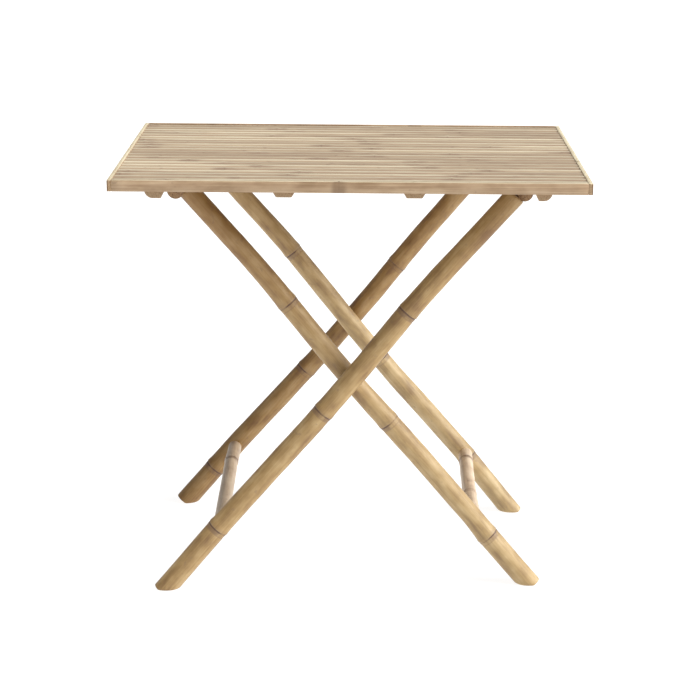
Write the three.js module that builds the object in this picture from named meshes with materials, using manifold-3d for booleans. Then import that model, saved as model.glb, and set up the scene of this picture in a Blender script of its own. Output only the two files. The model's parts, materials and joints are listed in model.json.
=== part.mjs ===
// Folding bamboo table: a slatted top that rests on a scissor stand of round bamboo.
// Millimetres, +Z up. The origin is on the floor below the middle of the top. +X runs along
// the slats and -Y is the front.
//
// The stand is two frames that cross on one pivot line. The outer frame leans to +X and its
// legs are the outermost ones. The inner frame leans to -X and folds inside it. Each frame has
// two legs, a top bar on the ends of the legs, and a stretcher near the floor.

import * as THREE from 'three';
import { mergeVertices } from 'three/addons/utils/BufferGeometryUtils.js';
import Module from 'manifold-3d';

const wasm = await Module();
wasm.setup();

// ---- Driving dimensions ----

const TOP_LENGTH = 800;
const TOP_DEPTH = 600;
const TABLE_HEIGHT = 748;

const RAIL_HEIGHT = 19;
const RAIL_THICKNESS = 7;

const SLAT_COUNT = 22;
const SLAT_GAP = 1.4;
const SLAT_THICKNESS = 14.5;
const SLAT_CROWN_RADIUS = 20;
const SLAT_CROWN_FLAT = 7;
const SLAT_SINK = 0.5;

const MIDDLE_BATTEN_LEFT = -109;
const MIDDLE_BATTEN_RIGHT = 107;
const MIDDLE_BATTEN_DEPTH = 13;
const BATTEN_TOP_WIDTH = 42;
const BATTEN_FOOT_WIDTH = 26;
const END_BATTEN_DEPTH = 16;
const END_BATTEN_INNER_TOP = 304;
const END_BATTEN_INNER_FOOT = 312;
const END_BATTEN_OUTER_RUN = 14;
const LEFT_BATTEN_OUTER_TOP = 340;
const RIGHT_BATTEN_OUTER_TOP = 335;

const CROSSING_HEIGHT = 386;
const LEAN = THREE.MathUtils.degToRad(40);
const LEG_REACH_UP = 428;
const OUTER_LEG_RADIUS = 18;
const INNER_LEG_RADIUS = 17.6;
const OUTER_LEG_Y = 226;
const INNER_LEG_Y = 188;

const BAR_RADIUS = 14.5;
const BAR_LENGTH = 456;
const BAR_OFFSET = 12.5;
const STRETCHER_RADIUS = 13;
const STRETCHER_DROP = 345;
const STRETCHER_OFFSET = 2.5;
const TENON_RADIUS = 9;
const TENON_LENGTH = 14;

const PIN_RADIUS = 4;
const PIN_COVER = 6;
const SPACER_RADIUS = 10;
const SPACER_THICKNESS = 1.8;

const SCREW_RADIUS = 2;
const SCREW_HEAD_RADIUS = 4;
const SCREW_HEAD_THICKNESS = 2.5;
const SCREW_BITE = 38;

const GAP = 0.3;

// Places of the growth rings on each culm, measured up the culm from the pivot line, or along
// +Y from the middle of a cross bar.
const OUTER_FRONT_RINGS = [-356, -72.5, 158, 380];
const OUTER_BACK_RINGS = [-413, -141, 135, 372];
const INNER_FRONT_RINGS = [-388, -111, 165.6, 396];
const INNER_BACK_RINGS = [-360, -96, 174, 404];
const OUTER_BAR_RINGS = [-92, 148];
const INNER_BAR_RINGS = [-150, 74];
const OUTER_STRETCHER_RINGS = [108];
const INNER_STRETCHER_RINGS = [-66];

const LEG_RING_SWELL = 1.0;
const BAR_RING_SWELL = 0.8;
const RING_HALF_WIDTH = 4;
const CULM_SIDES = 24;
const ROUND_SIDES = 20;
const SCREW_SIDES = 12;
const CROWN_SEGMENTS = 5;
const BATTEN_SEGMENTS = 6;
const CUT_OVERRUN = 20;
const CUTTER_SCALE = 6;
const WELD_DISTANCE = 1e-4;

// ---- Finishes ----

function bamboo(colour, roughness = 0.5) {
  return new THREE.MeshStandardMaterial({ color: colour, roughness, metalness: 0 });
}

function steel() {
  return new THREE.MeshStandardMaterial({ color: '#8d8f90', roughness: 0.35, metalness: 1 });
}

const SLAT_COLOUR = '#c9b08c';
const RAIL_COLOUR = '#c2a27a';
const LEG_COLOUR = '#c4a06c';
const BAR_COLOUR = '#a87f4e';

// ---- Solids ----

function solid(geometry) {
  const bare = geometry.clone();
  bare.deleteAttribute('normal');
  bare.deleteAttribute('uv');
  const merged = mergeVertices(bare, WELD_DISTANCE);
  return new wasm.Manifold(new wasm.Mesh({
    numProp: 3,
    vertProperties: new Float32Array(merged.attributes.position.array),
    triVerts: new Uint32Array(merged.index.array),
  }));
}

function cut(geometry, cutters) {
  let body = solid(geometry);
  for (const cutter of cutters) {
    body = body.subtract(solid(cutter));
  }
  const mesh = body.getMesh();
  const corners = new Float32Array(mesh.vertProperties);
  const result = new THREE.BufferGeometry();
  result.setAttribute('position', new THREE.BufferAttribute(corners, 3));
  result.setIndex(new THREE.BufferAttribute(new Uint32Array(mesh.triVerts), 1));
  result.computeVertexNormals();
  return result;
}

// A rod of circular section on the Z axis, turned from [radius, z] stations.
function turned(stations, sides = ROUND_SIDES) {
  const profile = stations.map(([radius, z]) => new THREE.Vector2(radius, z));
  profile.unshift(new THREE.Vector2(0, stations[0][1]));
  profile.push(new THREE.Vector2(0, stations[stations.length - 1][1]));
  return new THREE.LatheGeometry(profile, sides).rotateX(Math.PI / 2);
}

// A length of bamboo on the Z axis, with a low swelling at each growth ring.
function culmStations(radius, low, high, rings, swell) {
  const stations = [[radius, low]];
  for (const ring of rings) {
    stations.push([radius, ring - RING_HALF_WIDTH]);
    stations.push([radius + swell, ring]);
    stations.push([radius, ring + RING_HALF_WIDTH]);
  }
  stations.push([radius, high]);
  return stations;
}

function rodAlongY(radius, oneEnd, otherEnd) {
  const low = Math.min(oneEnd, otherEnd);
  const high = Math.max(oneEnd, otherEnd);
  return turned([[radius, low], [radius, high]]).rotateX(-Math.PI / 2);
}

function ringAlongY(outerRadius, innerRadius, fromY, toY) {
  const profile = [
    new THREE.Vector2(innerRadius, fromY),
    new THREE.Vector2(outerRadius, fromY),
    new THREE.Vector2(outerRadius, toY),
    new THREE.Vector2(innerRadius, toY),
    new THREE.Vector2(innerRadius, fromY),
  ];
  return new THREE.LatheGeometry(profile, ROUND_SIDES);
}

function piece(name, geometry, material) {
  const mesh = new THREE.Mesh(geometry, material);
  mesh.name = name;
  return mesh;
}

const table = new THREE.Group();

// ---- Top: slats in a thin flush frame, on four battens ----

const slatTop = TABLE_HEIGHT - SLAT_SINK;
const slatUnderside = slatTop - SLAT_THICKNESS;
const slatPitch = (TOP_DEPTH - 2 * RAIL_THICKNESS) / SLAT_COUNT;
const slatWidth = slatPitch - SLAT_GAP;
const slatLength = TOP_LENGTH - 2 * RAIL_THICKNESS - 2 * SLAT_GAP;

// Section of a slat: flat underneath, with a crown that is planed level along its middle.
function slatSection() {
  const halfWidth = slatWidth / 2;
  const halfFlat = SLAT_CROWN_FLAT / 2;
  const flatAngle = Math.asin(halfFlat / SLAT_CROWN_RADIUS);
  const sideAngle = Math.asin(halfWidth / SLAT_CROWN_RADIUS);
  const centre = SLAT_THICKNESS - SLAT_CROWN_RADIUS * Math.cos(flatAngle);
  const right = Math.PI / 2;
  const shape = new THREE.Shape();
  shape.moveTo(-halfWidth, 0);
  shape.lineTo(halfWidth, 0);
  shape.absarc(0, centre, SLAT_CROWN_RADIUS, right - sideAngle, right - flatAngle, false);
  shape.absarc(0, centre, SLAT_CROWN_RADIUS, right + flatAngle, right + sideAngle, false);
  shape.closePath();
  return shape;
}

function extruded(shape, length, curveSegments) {
  const settings = { depth: length, bevelEnabled: false, curveSegments };
  return new THREE.ExtrudeGeometry(shape, settings).translate(0, 0, -length / 2);
}

// Extrudes a section drawn in the Y-Z plane along +X, centred on x = 0.
function alongX(shape, length, curveSegments) {
  return extruded(shape, length, curveSegments).rotateX(Math.PI / 2).rotateZ(Math.PI / 2);
}

// Extrudes a section drawn in the X-Z plane along Y, centred on y = 0.
function alongY(shape, length, curveSegments) {
  return extruded(shape, length, curveSegments).rotateX(Math.PI / 2);
}

function addSlats() {
  const geometry = alongX(slatSection(), slatLength, CROWN_SEGMENTS);
  for (let row = 0; row < SLAT_COUNT; row += 1) {
    const name = `slat_${String(row + 1).padStart(2, '0')}`;
    const slat = piece(name, geometry, bamboo(SLAT_COLOUR));
    slat.position.set(0, (row + 0.5 - SLAT_COUNT / 2) * slatPitch, slatUnderside);
    table.add(slat);
  }
}

function addRails() {
  const railMiddle = TABLE_HEIGHT - RAIL_HEIGHT / 2;
  const longLength = TOP_LENGTH - 2 * RAIL_THICKNESS - 2 * GAP;
  const sideStrip = new THREE.BoxGeometry(RAIL_THICKNESS, TOP_DEPTH, RAIL_HEIGHT);
  const longStrip = new THREE.BoxGeometry(longLength, RAIL_THICKNESS, RAIL_HEIGHT);
  for (const [name, side] of [['left_rail', -1], ['right_rail', 1]]) {
    const rail = piece(name, sideStrip, bamboo(RAIL_COLOUR));
    rail.position.set(side * (TOP_LENGTH - RAIL_THICKNESS) / 2, 0, railMiddle);
    table.add(rail);
  }
  for (const [name, side] of [['front_rail', -1], ['back_rail', 1]]) {
    const rail = piece(name, longStrip, bamboo(RAIL_COLOUR));
    rail.position.set(0, side * (TOP_DEPTH - RAIL_THICKNESS) / 2, railMiddle);
    table.add(rail);
  }
}

const battenLength = TOP_DEPTH - 2 * RAIL_THICKNESS - 2 * GAP;
const battenTop = slatUnderside - GAP;

// The two middle battens have slanted sides.
function middleBattenSection() {
  const shape = new THREE.Shape();
  shape.moveTo(-BATTEN_FOOT_WIDTH / 2, -MIDDLE_BATTEN_DEPTH);
  shape.lineTo(BATTEN_FOOT_WIDTH / 2, -MIDDLE_BATTEN_DEPTH);
  shape.lineTo(BATTEN_TOP_WIDTH / 2, 0);
  shape.lineTo(-BATTEN_TOP_WIDTH / 2, 0);
  shape.closePath();
  return shape;
}

// The end battens are stops for the top bars: slanted where the bar bears, rounded outside.
function endBattenSection(outerTop) {
  const outerFoot = outerTop - END_BATTEN_OUTER_RUN;
  const shape = new THREE.Shape();
  shape.moveTo(END_BATTEN_INNER_FOOT, -END_BATTEN_DEPTH);
  shape.lineTo(outerFoot, -END_BATTEN_DEPTH);
  shape.absellipse(outerFoot, 0, END_BATTEN_OUTER_RUN, END_BATTEN_DEPTH, -Math.PI / 2, 0, false);
  shape.lineTo(END_BATTEN_INNER_TOP, 0);
  shape.closePath();
  return shape;
}

function addBattens() {
  const middle = alongY(middleBattenSection(), battenLength, 1);
  for (const [name, x] of [
    ['middle_batten_left', MIDDLE_BATTEN_LEFT],
    ['middle_batten_right', MIDDLE_BATTEN_RIGHT],
  ]) {
    const batten = piece(name, middle, bamboo(RAIL_COLOUR));
    batten.position.set(x, 0, battenTop);
    table.add(batten);
  }
  for (const [name, turn, outerTop] of [
    ['end_batten_left', Math.PI, LEFT_BATTEN_OUTER_TOP],
    ['end_batten_right', 0, RIGHT_BATTEN_OUTER_TOP],
  ]) {
    const end = alongY(endBattenSection(outerTop), battenLength, BATTEN_SEGMENTS);
    const batten = piece(name, end, bamboo(RAIL_COLOUR));
    batten.rotation.z = turn;
    batten.position.z = battenTop;
    table.add(batten);
  }
}

// ---- Stand ----
// Each frame is drawn in its own group, with the pivot line as its Y axis and its legs along Z,
// and the group then leans. "side" is 1 for the outer frame and -1 for the inner one.

const barReach = LEG_REACH_UP + BAR_RADIUS + GAP;
const legReachDown = CROSSING_HEIGHT / Math.cos(LEAN);
const pinOuterEnd = OUTER_LEG_Y + OUTER_LEG_RADIUS - PIN_COVER;
const pinInnerEnd = INNER_LEG_Y - INNER_LEG_RADIUS + PIN_COVER;

function floorCutter(side, radius) {
  const size = CUTTER_SCALE * radius;
  const block = new THREE.BoxGeometry(size, size, size);
  block.translate(0, 0, -CROSSING_HEIGHT - size / 2);
  block.rotateY(-side * LEAN);
  const slide = Math.tan(LEAN) * CROSSING_HEIGHT;
  return block.translate(-side * slide * Math.cos(LEAN), 0, -slide * Math.sin(LEAN));
}

// The pin's hole is open towards the leg next to it and blind on the other side.
function pinHole(side, radius, legY) {
  const outward = Math.sign(legY);
  const blindEnd = side > 0 ? pinOuterEnd - OUTER_LEG_Y + GAP : pinInnerEnd - INNER_LEG_Y - GAP;
  const openEnd = -side * (radius + CUT_OVERRUN);
  return rodAlongY(PIN_RADIUS + GAP, outward * blindEnd, outward * openEnd);
}

function mortise(side, radius, legY) {
  const inward = -Math.sign(legY);
  const floor = radius - TENON_LENGTH - GAP;
  const hole = rodAlongY(TENON_RADIUS + GAP, inward * floor, inward * (radius + CUT_OVERRUN));
  return hole.translate(-side * STRETCHER_OFFSET, 0, -STRETCHER_DROP);
}

function drilledFrom(radius, floor, mouth) {
  return turned([[radius + GAP, floor], [radius + GAP, mouth]], SCREW_SIDES);
}

function legGeometry(side, radius, legY, rings) {
  const foot = -legReachDown - CUT_OVERRUN;
  const stations = culmStations(radius, foot, LEG_REACH_UP, rings, LEG_RING_SWELL);
  const screwFloor = LEG_REACH_UP - SCREW_BITE - GAP;
  const screwHole = drilledFrom(SCREW_RADIUS, screwFloor, LEG_REACH_UP + CUT_OVERRUN);
  screwHole.translate(side * BAR_OFFSET, 0, 0);
  return cut(turned(stations, CULM_SIDES), [
    floorCutter(side, radius),
    pinHole(side, radius, legY),
    mortise(side, radius, legY),
    screwHole,
  ]);
}

function barGeometry(legY, rings) {
  const half = BAR_LENGTH / 2;
  const stations = culmStations(BAR_RADIUS, -half, half, rings, BAR_RING_SWELL);
  const rod = turned(stations, CULM_SIDES).rotateX(-Math.PI / 2);
  const headSeat = BAR_RADIUS - 2 * SCREW_HEAD_THICKNESS;
  const cutters = [];
  for (const y of [-legY, legY]) {
    const shank = drilledFrom(SCREW_RADIUS, -BAR_RADIUS - CUT_OVERRUN, BAR_RADIUS);
    const seat = drilledFrom(SCREW_HEAD_RADIUS, headSeat, BAR_RADIUS + CUT_OVERRUN);
    cutters.push(shank.translate(0, y, 0), seat.translate(0, y, 0));
  }
  return cut(rod, cutters);
}

function screwGeometry() {
  const seat = BAR_RADIUS - 2 * SCREW_HEAD_THICKNESS + GAP;
  const tip = -BAR_RADIUS - SCREW_BITE + GAP;
  return turned([
    [SCREW_RADIUS / 2, tip],
    [SCREW_RADIUS, tip + 2 * SCREW_RADIUS],
    [SCREW_RADIUS, seat],
    [SCREW_HEAD_RADIUS, seat],
    [SCREW_HEAD_RADIUS, seat + SCREW_HEAD_THICKNESS],
  ], SCREW_SIDES);
}

function stretcherGeometry(legY, legRadius, rings) {
  const shoulder = legY - legRadius - LEG_RING_SWELL - GAP;
  const end = legY - legRadius + TENON_LENGTH;
  const body = culmStations(STRETCHER_RADIUS, -shoulder, shoulder, rings, BAR_RING_SWELL);
  body.unshift([TENON_RADIUS, -end], [TENON_RADIUS, -shoulder]);
  body.push([TENON_RADIUS, shoulder], [TENON_RADIUS, end]);
  return turned(body).rotateX(-Math.PI / 2);
}

function addFrame({ label, side, legY, legRadius, frontRings, backRings, barRings, stretcherRings }) {
  const frame = new THREE.Group();
  frame.position.z = CROSSING_HEIGHT;
  frame.rotation.y = side * LEAN;

  const screw = screwGeometry();
  for (const [end, sign, rings] of [['front', -1, frontRings], ['back', 1, backRings]]) {
    const culm = legGeometry(side, legRadius, sign * legY, rings);
    const leg = piece(`${label}_leg_${end}`, culm, bamboo(LEG_COLOUR));
    leg.position.y = sign * legY;
    frame.add(leg);

    const fixing = piece(`${label}_bar_screw_${end}`, screw, steel());
    fixing.position.set(side * BAR_OFFSET, sign * legY, barReach);
    frame.add(fixing);
  }

  const bar = piece(`${label}_top_bar`, barGeometry(legY, barRings), bamboo(BAR_COLOUR));
  bar.position.set(side * BAR_OFFSET, 0, barReach);
  frame.add(bar);

  const rod = stretcherGeometry(legY, legRadius, stretcherRings);
  const stretcher = piece(`${label}_stretcher`, rod, bamboo(LEG_COLOUR));
  stretcher.position.set(-side * STRETCHER_OFFSET, 0, -STRETCHER_DROP);
  frame.add(stretcher);
  table.add(frame);
}

// ---- Pivots: a blind steel pin joins each inner leg to the outer leg next to it ----

function addPivots() {
  const spacerFrom = INNER_LEG_Y + INNER_LEG_RADIUS + GAP;
  const spacerTo = spacerFrom + SPACER_THICKNESS;
  const parts = [
    ['pivot_pin', rodAlongY(PIN_RADIUS, pinInnerEnd, pinOuterEnd)],
    ['pivot_spacer', ringAlongY(SPACER_RADIUS, PIN_RADIUS + GAP, spacerFrom, spacerTo)],
  ];
  for (const [end, turn] of [['front', Math.PI], ['back', 0]]) {
    for (const [label, geometry] of parts) {
      const part = piece(`${label}_${end}`, geometry, steel());
      part.rotation.z = turn;
      part.position.z = CROSSING_HEIGHT;
      table.add(part);
    }
  }
}

addSlats();
addRails();
addBattens();
addFrame({
  label: 'outer',
  side: 1,
  legY: OUTER_LEG_Y,
  legRadius: OUTER_LEG_RADIUS,
  frontRings: OUTER_FRONT_RINGS,
  backRings: OUTER_BACK_RINGS,
  barRings: OUTER_BAR_RINGS,
  stretcherRings: OUTER_STRETCHER_RINGS,
});
addFrame({
  label: 'inner',
  side: -1,
  legY: INNER_LEG_Y,
  legRadius: INNER_LEG_RADIUS,
  frontRings: INNER_FRONT_RINGS,
  backRings: INNER_BACK_RINGS,
  barRings: INNER_BAR_RINGS,
  stretcherRings: INNER_STRETCHER_RINGS,
});
addPivots();

export default table;
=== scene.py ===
import json
import math

import bmesh
import bpy
from mathutils import Matrix, Vector


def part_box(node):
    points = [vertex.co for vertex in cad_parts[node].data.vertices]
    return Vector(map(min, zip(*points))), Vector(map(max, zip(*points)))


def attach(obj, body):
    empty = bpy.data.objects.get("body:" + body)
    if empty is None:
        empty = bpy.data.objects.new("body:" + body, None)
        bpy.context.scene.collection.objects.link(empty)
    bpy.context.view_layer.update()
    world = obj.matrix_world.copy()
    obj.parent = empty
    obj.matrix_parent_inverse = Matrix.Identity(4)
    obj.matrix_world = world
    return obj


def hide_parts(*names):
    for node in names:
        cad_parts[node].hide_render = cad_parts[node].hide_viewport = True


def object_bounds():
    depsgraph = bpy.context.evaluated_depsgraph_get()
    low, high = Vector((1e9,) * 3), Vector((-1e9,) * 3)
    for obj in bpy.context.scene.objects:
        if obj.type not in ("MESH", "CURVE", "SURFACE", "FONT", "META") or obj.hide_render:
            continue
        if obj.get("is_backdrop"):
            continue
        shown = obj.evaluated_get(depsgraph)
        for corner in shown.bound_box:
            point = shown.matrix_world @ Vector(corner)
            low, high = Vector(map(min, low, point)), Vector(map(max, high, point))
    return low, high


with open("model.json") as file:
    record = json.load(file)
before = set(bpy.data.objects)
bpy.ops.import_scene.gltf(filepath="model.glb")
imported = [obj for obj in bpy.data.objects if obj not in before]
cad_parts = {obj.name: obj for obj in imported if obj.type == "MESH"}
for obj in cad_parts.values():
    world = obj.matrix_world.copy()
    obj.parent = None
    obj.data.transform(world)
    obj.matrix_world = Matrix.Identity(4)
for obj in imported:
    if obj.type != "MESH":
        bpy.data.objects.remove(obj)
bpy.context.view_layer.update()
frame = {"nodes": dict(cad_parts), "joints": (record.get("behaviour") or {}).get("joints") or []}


# ---- Camera ----
# A long lens in front of the table, a little to the right of its middle. It stands higher than
# the top, so that it looks down along the slats.

LENS = 101.28
SENSOR = 36
EYE = Vector((0.0192, -3.4884, 1.3494))
# Radians: how far it turns left, looks down and rolls.
TURN, DOWN, ROLL = 0.00533, 0.27151, 0.00685

camera = bpy.data.objects.new("camera", bpy.data.cameras.new("camera"))
camera.data.sensor_width = SENSOR
camera.data.lens = LENS
turn = Matrix.Rotation(TURN, 4, "Z")
tilt = Matrix.Rotation(math.pi / 2 - DOWN, 4, "X")
roll = Matrix.Rotation(ROLL, 4, "Z")
camera.matrix_world = Matrix.Translation(EYE) @ turn @ tilt @ roll
bpy.context.scene.collection.objects.link(camera)
bpy.context.scene.camera = camera


# ---- Floor and studio light ----
# A plain white floor with a glow of its own, which leaves the lamps little shadow to throw. A
# broad lamp on the right rounds the legs, and a narrower one overhead lights the top.

def linear(code, alpha=1.0):
    """The linear colour for an sRGB hex code."""
    parts = [int(code[i:i + 2], 16) / 255 for i in (1, 3, 5)]
    curved = [p / 12.92 if p <= 0.04045 else ((p + 0.055) / 1.055) ** 2.4 for p in parts]
    return (*curved, alpha)


def node(tree, kind, inputs=None, **settings):
    """Adds a node. inputs takes a socket to link, or a value to set, for each input's name or
    number. Map Range has 0 value, 1 and 2 from, 3 and 4 to. Mix has 0 factor, 2 and 3 numbers,
    6 and 7 colours."""
    made = tree.nodes.new(kind)
    for name, value in settings.items():
        setattr(made, name, value)
    for key, value in (inputs or {}).items():
        if isinstance(value, bpy.types.NodeSocket):
            tree.links.new(value, made.inputs[key])
        else:
            made.inputs[key].default_value = value
    return made


FLOOR_SIZE = 80.0
FLOOR_DROP = 0.0005

floor_mesh = bpy.data.meshes.new("floor")
half = FLOOR_SIZE / 2
floor_mesh.from_pydata(
    [(-half, -half, 0), (half, -half, 0), (half, half, 0), (-half, half, 0)], [], [(0, 1, 2, 3)]
)
floor_mesh.transform(Matrix.Translation((0, 0, -FLOOR_DROP)))
floor = bpy.data.objects.new("floor", floor_mesh)
bpy.context.scene.collection.objects.link(floor)
# Matt white paint: even and shadowless to the eye, because most of it is its own glow.
floor_paint = bpy.data.materials.new("matt_white_floor_paint")
floor_paint.use_nodes = True
paint = floor_paint.node_tree.nodes["Principled BSDF"]
paint.inputs["Base Color"].default_value = linear("#8c8c8b")
paint.inputs["Roughness"].default_value = 0.9
paint.inputs["Specular IOR Level"].default_value = 0.1
paint.inputs["Emission Color"].default_value = linear("#ffffff")
paint.inputs["Emission Strength"].default_value = 0.9
floor_mesh.materials.append(floor_paint)
floor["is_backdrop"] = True

world = bpy.data.worlds.new("studio")
world.use_nodes = True
tree = world.node_tree
sky = tree.nodes["Background"]
sky.inputs["Color"].default_value = linear("#ffffff")
toward = node(tree, "ShaderNodeTexCoord").outputs["Generated"]
ways = node(tree, "ShaderNodeSeparateXYZ", {0: toward}).outputs
# White near the horizon, and dimmer overhead and on the left, so that the lamps do the modelling.
glow = node(tree, "ShaderNodeMapRange", {0: ways[2], 1: 0.05, 2: 0.45, 3: 1.0, 4: 0.25}).outputs[0]
card = node(tree, "ShaderNodeMapRange", {0: ways[0], 1: -0.7, 2: 0.4, 3: 0.5, 4: 1.1}).outputs[0]
glow = node(tree, "ShaderNodeMath", {0: glow, 1: card}, operation="MULTIPLY").outputs[0]
tree.links.new(glow, sky.inputs["Strength"])
bpy.context.scene.world = world
bpy.context.scene.view_settings.view_transform = "Standard"

LAMP_AWAY = 4
for label, toward_lamp, softness, power in [
    ("key_lamp", (0.80, -0.20, 0.54), 36, 3.3),
    ("top_lamp", (0.05, -0.12, 1.0), 14, 2.1),
]:
    lamp = bpy.data.lights.new(label, "SUN")
    lamp.angle = math.radians(softness)
    lamp.energy = power
    holder = bpy.data.objects.new(label, lamp)
    holder.location = Vector(toward_lamp) * LAMP_AWAY
    holder.rotation_euler = Vector(toward_lamp).to_track_quat("Z", "Y").to_euler()
    bpy.context.scene.collection.objects.link(holder)


# ---- Slats ----
# Bamboo split lengthwise, planed flat underneath and left rounded on top, with a painted
# highlight along each crown. They lie close together, glued and pinned to the battens.

MM = 0.001
SLAT_COUNT = 22
SLAT_STEP = 3.2 * MM
SLAT_ARRIS = 0.7 * MM
SLAT_END_ARRIS = 0.1 * MM
SLAT_RUN_ON = 1.2 * MM    # at each end, to 0.2 mm from the side rails
SLAT_SIDE_SHARE = 0.71    # of the thickness, where the crown springs from
CROWN_POINTS = 9
CROWN_POWER = 2.1

low_slat, high_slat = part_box("slat_01")
last_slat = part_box("slat_22")[0]
slat_pitch = (last_slat.y - low_slat.y) / (SLAT_COUNT - 1)
slat_length = high_slat.x - low_slat.x + 2 * SLAT_RUN_ON
slat_width = high_slat.y - low_slat.y
slat_thickness = high_slat.z - low_slat.z
slat_side = SLAT_SIDE_SHARE * slat_thickness


def loft(name, sections):
    """A closed shell through a row of matching sections, with flat ends."""
    rows, around = len(sections), len(sections[0])
    corners = [tuple(point) for section in sections for point in section]
    faces = [
        (row * around + k, row * around + (k + 1) % around,
         (row + 1) * around + (k + 1) % around, (row + 1) * around + k)
        for row in range(rows - 1)
        for k in range(around)
    ]
    faces += [tuple(range(around)), tuple(range((rows - 1) * around, rows * around))]
    mesh = bpy.data.meshes.new(name)
    mesh.from_pydata(corners, [], faces)
    shell = bmesh.new()
    shell.from_mesh(mesh)
    bmesh.ops.recalc_face_normals(shell, faces=shell.faces)
    shell.to_mesh(mesh)
    shell.free()
    return mesh


def slat_section(x, inset):
    """The slat's outline at x, drawn in by inset for the broken edge at its ends."""
    half = slat_width / 2 - inset
    outline = [(-half + SLAT_ARRIS, inset), (-half, SLAT_ARRIS), (-half, slat_side - SLAT_ARRIS)]
    for k in range(CROWN_POINTS):
        across = -1 + 2 * (k + 0.5) / CROWN_POINTS
        drop = (slat_thickness - slat_side) * abs(across) ** CROWN_POWER
        outline.append((across * half, slat_thickness - inset - drop))
    outline += [(half, slat_side - SLAT_ARRIS), (half, SLAT_ARRIS), (half - SLAT_ARRIS, inset)]
    return [(x, y, z) for y, z in outline]


def tree_with(name, inputs):
    """A Geometry Nodes tree with a mesh in, a mesh out and these named inputs."""
    tree = bpy.data.node_groups.new(name, "GeometryNodeTree")
    tree.interface.new_socket(name="Mesh", in_out="INPUT", socket_type="NodeSocketGeometry")
    tree.interface.new_socket(name="Mesh", in_out="OUTPUT", socket_type="NodeSocketGeometry")
    for label, kind in inputs.items():
        tree.interface.new_socket(name=label, in_out="INPUT", socket_type="NodeSocket" + kind)
    return tree, node(tree, "NodeGroupInput").outputs


def grown(name, base, tree, sizes):
    """Runs the tree on the base mesh, and keeps what it makes as one plain mesh."""
    blank = bpy.data.objects.new(name + "_blank", base)
    bpy.context.scene.collection.objects.link(blank)
    modifier = blank.modifiers.new("grow", "NODES")
    modifier.node_group = tree
    for item in tree.interface.items_tree:
        if item.in_out == "INPUT" and item.name in sizes:
            modifier[item.identifier] = sizes[item.name]
    depsgraph = bpy.context.evaluated_depsgraph_get()
    mesh = bpy.data.meshes.new_from_object(blank.evaluated_get(depsgraph))
    bpy.data.objects.remove(blank)
    mesh.name = name
    return mesh


def placed(name, mesh, body, slot, *nodes):
    """Puts a finished mesh in the scene, in place of the CAD nodes that it stands for."""
    piece = bpy.data.objects.new(name, mesh)
    bpy.context.scene.collection.objects.link(piece)
    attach(piece, body)
    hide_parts(*nodes)
    return piece


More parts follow.
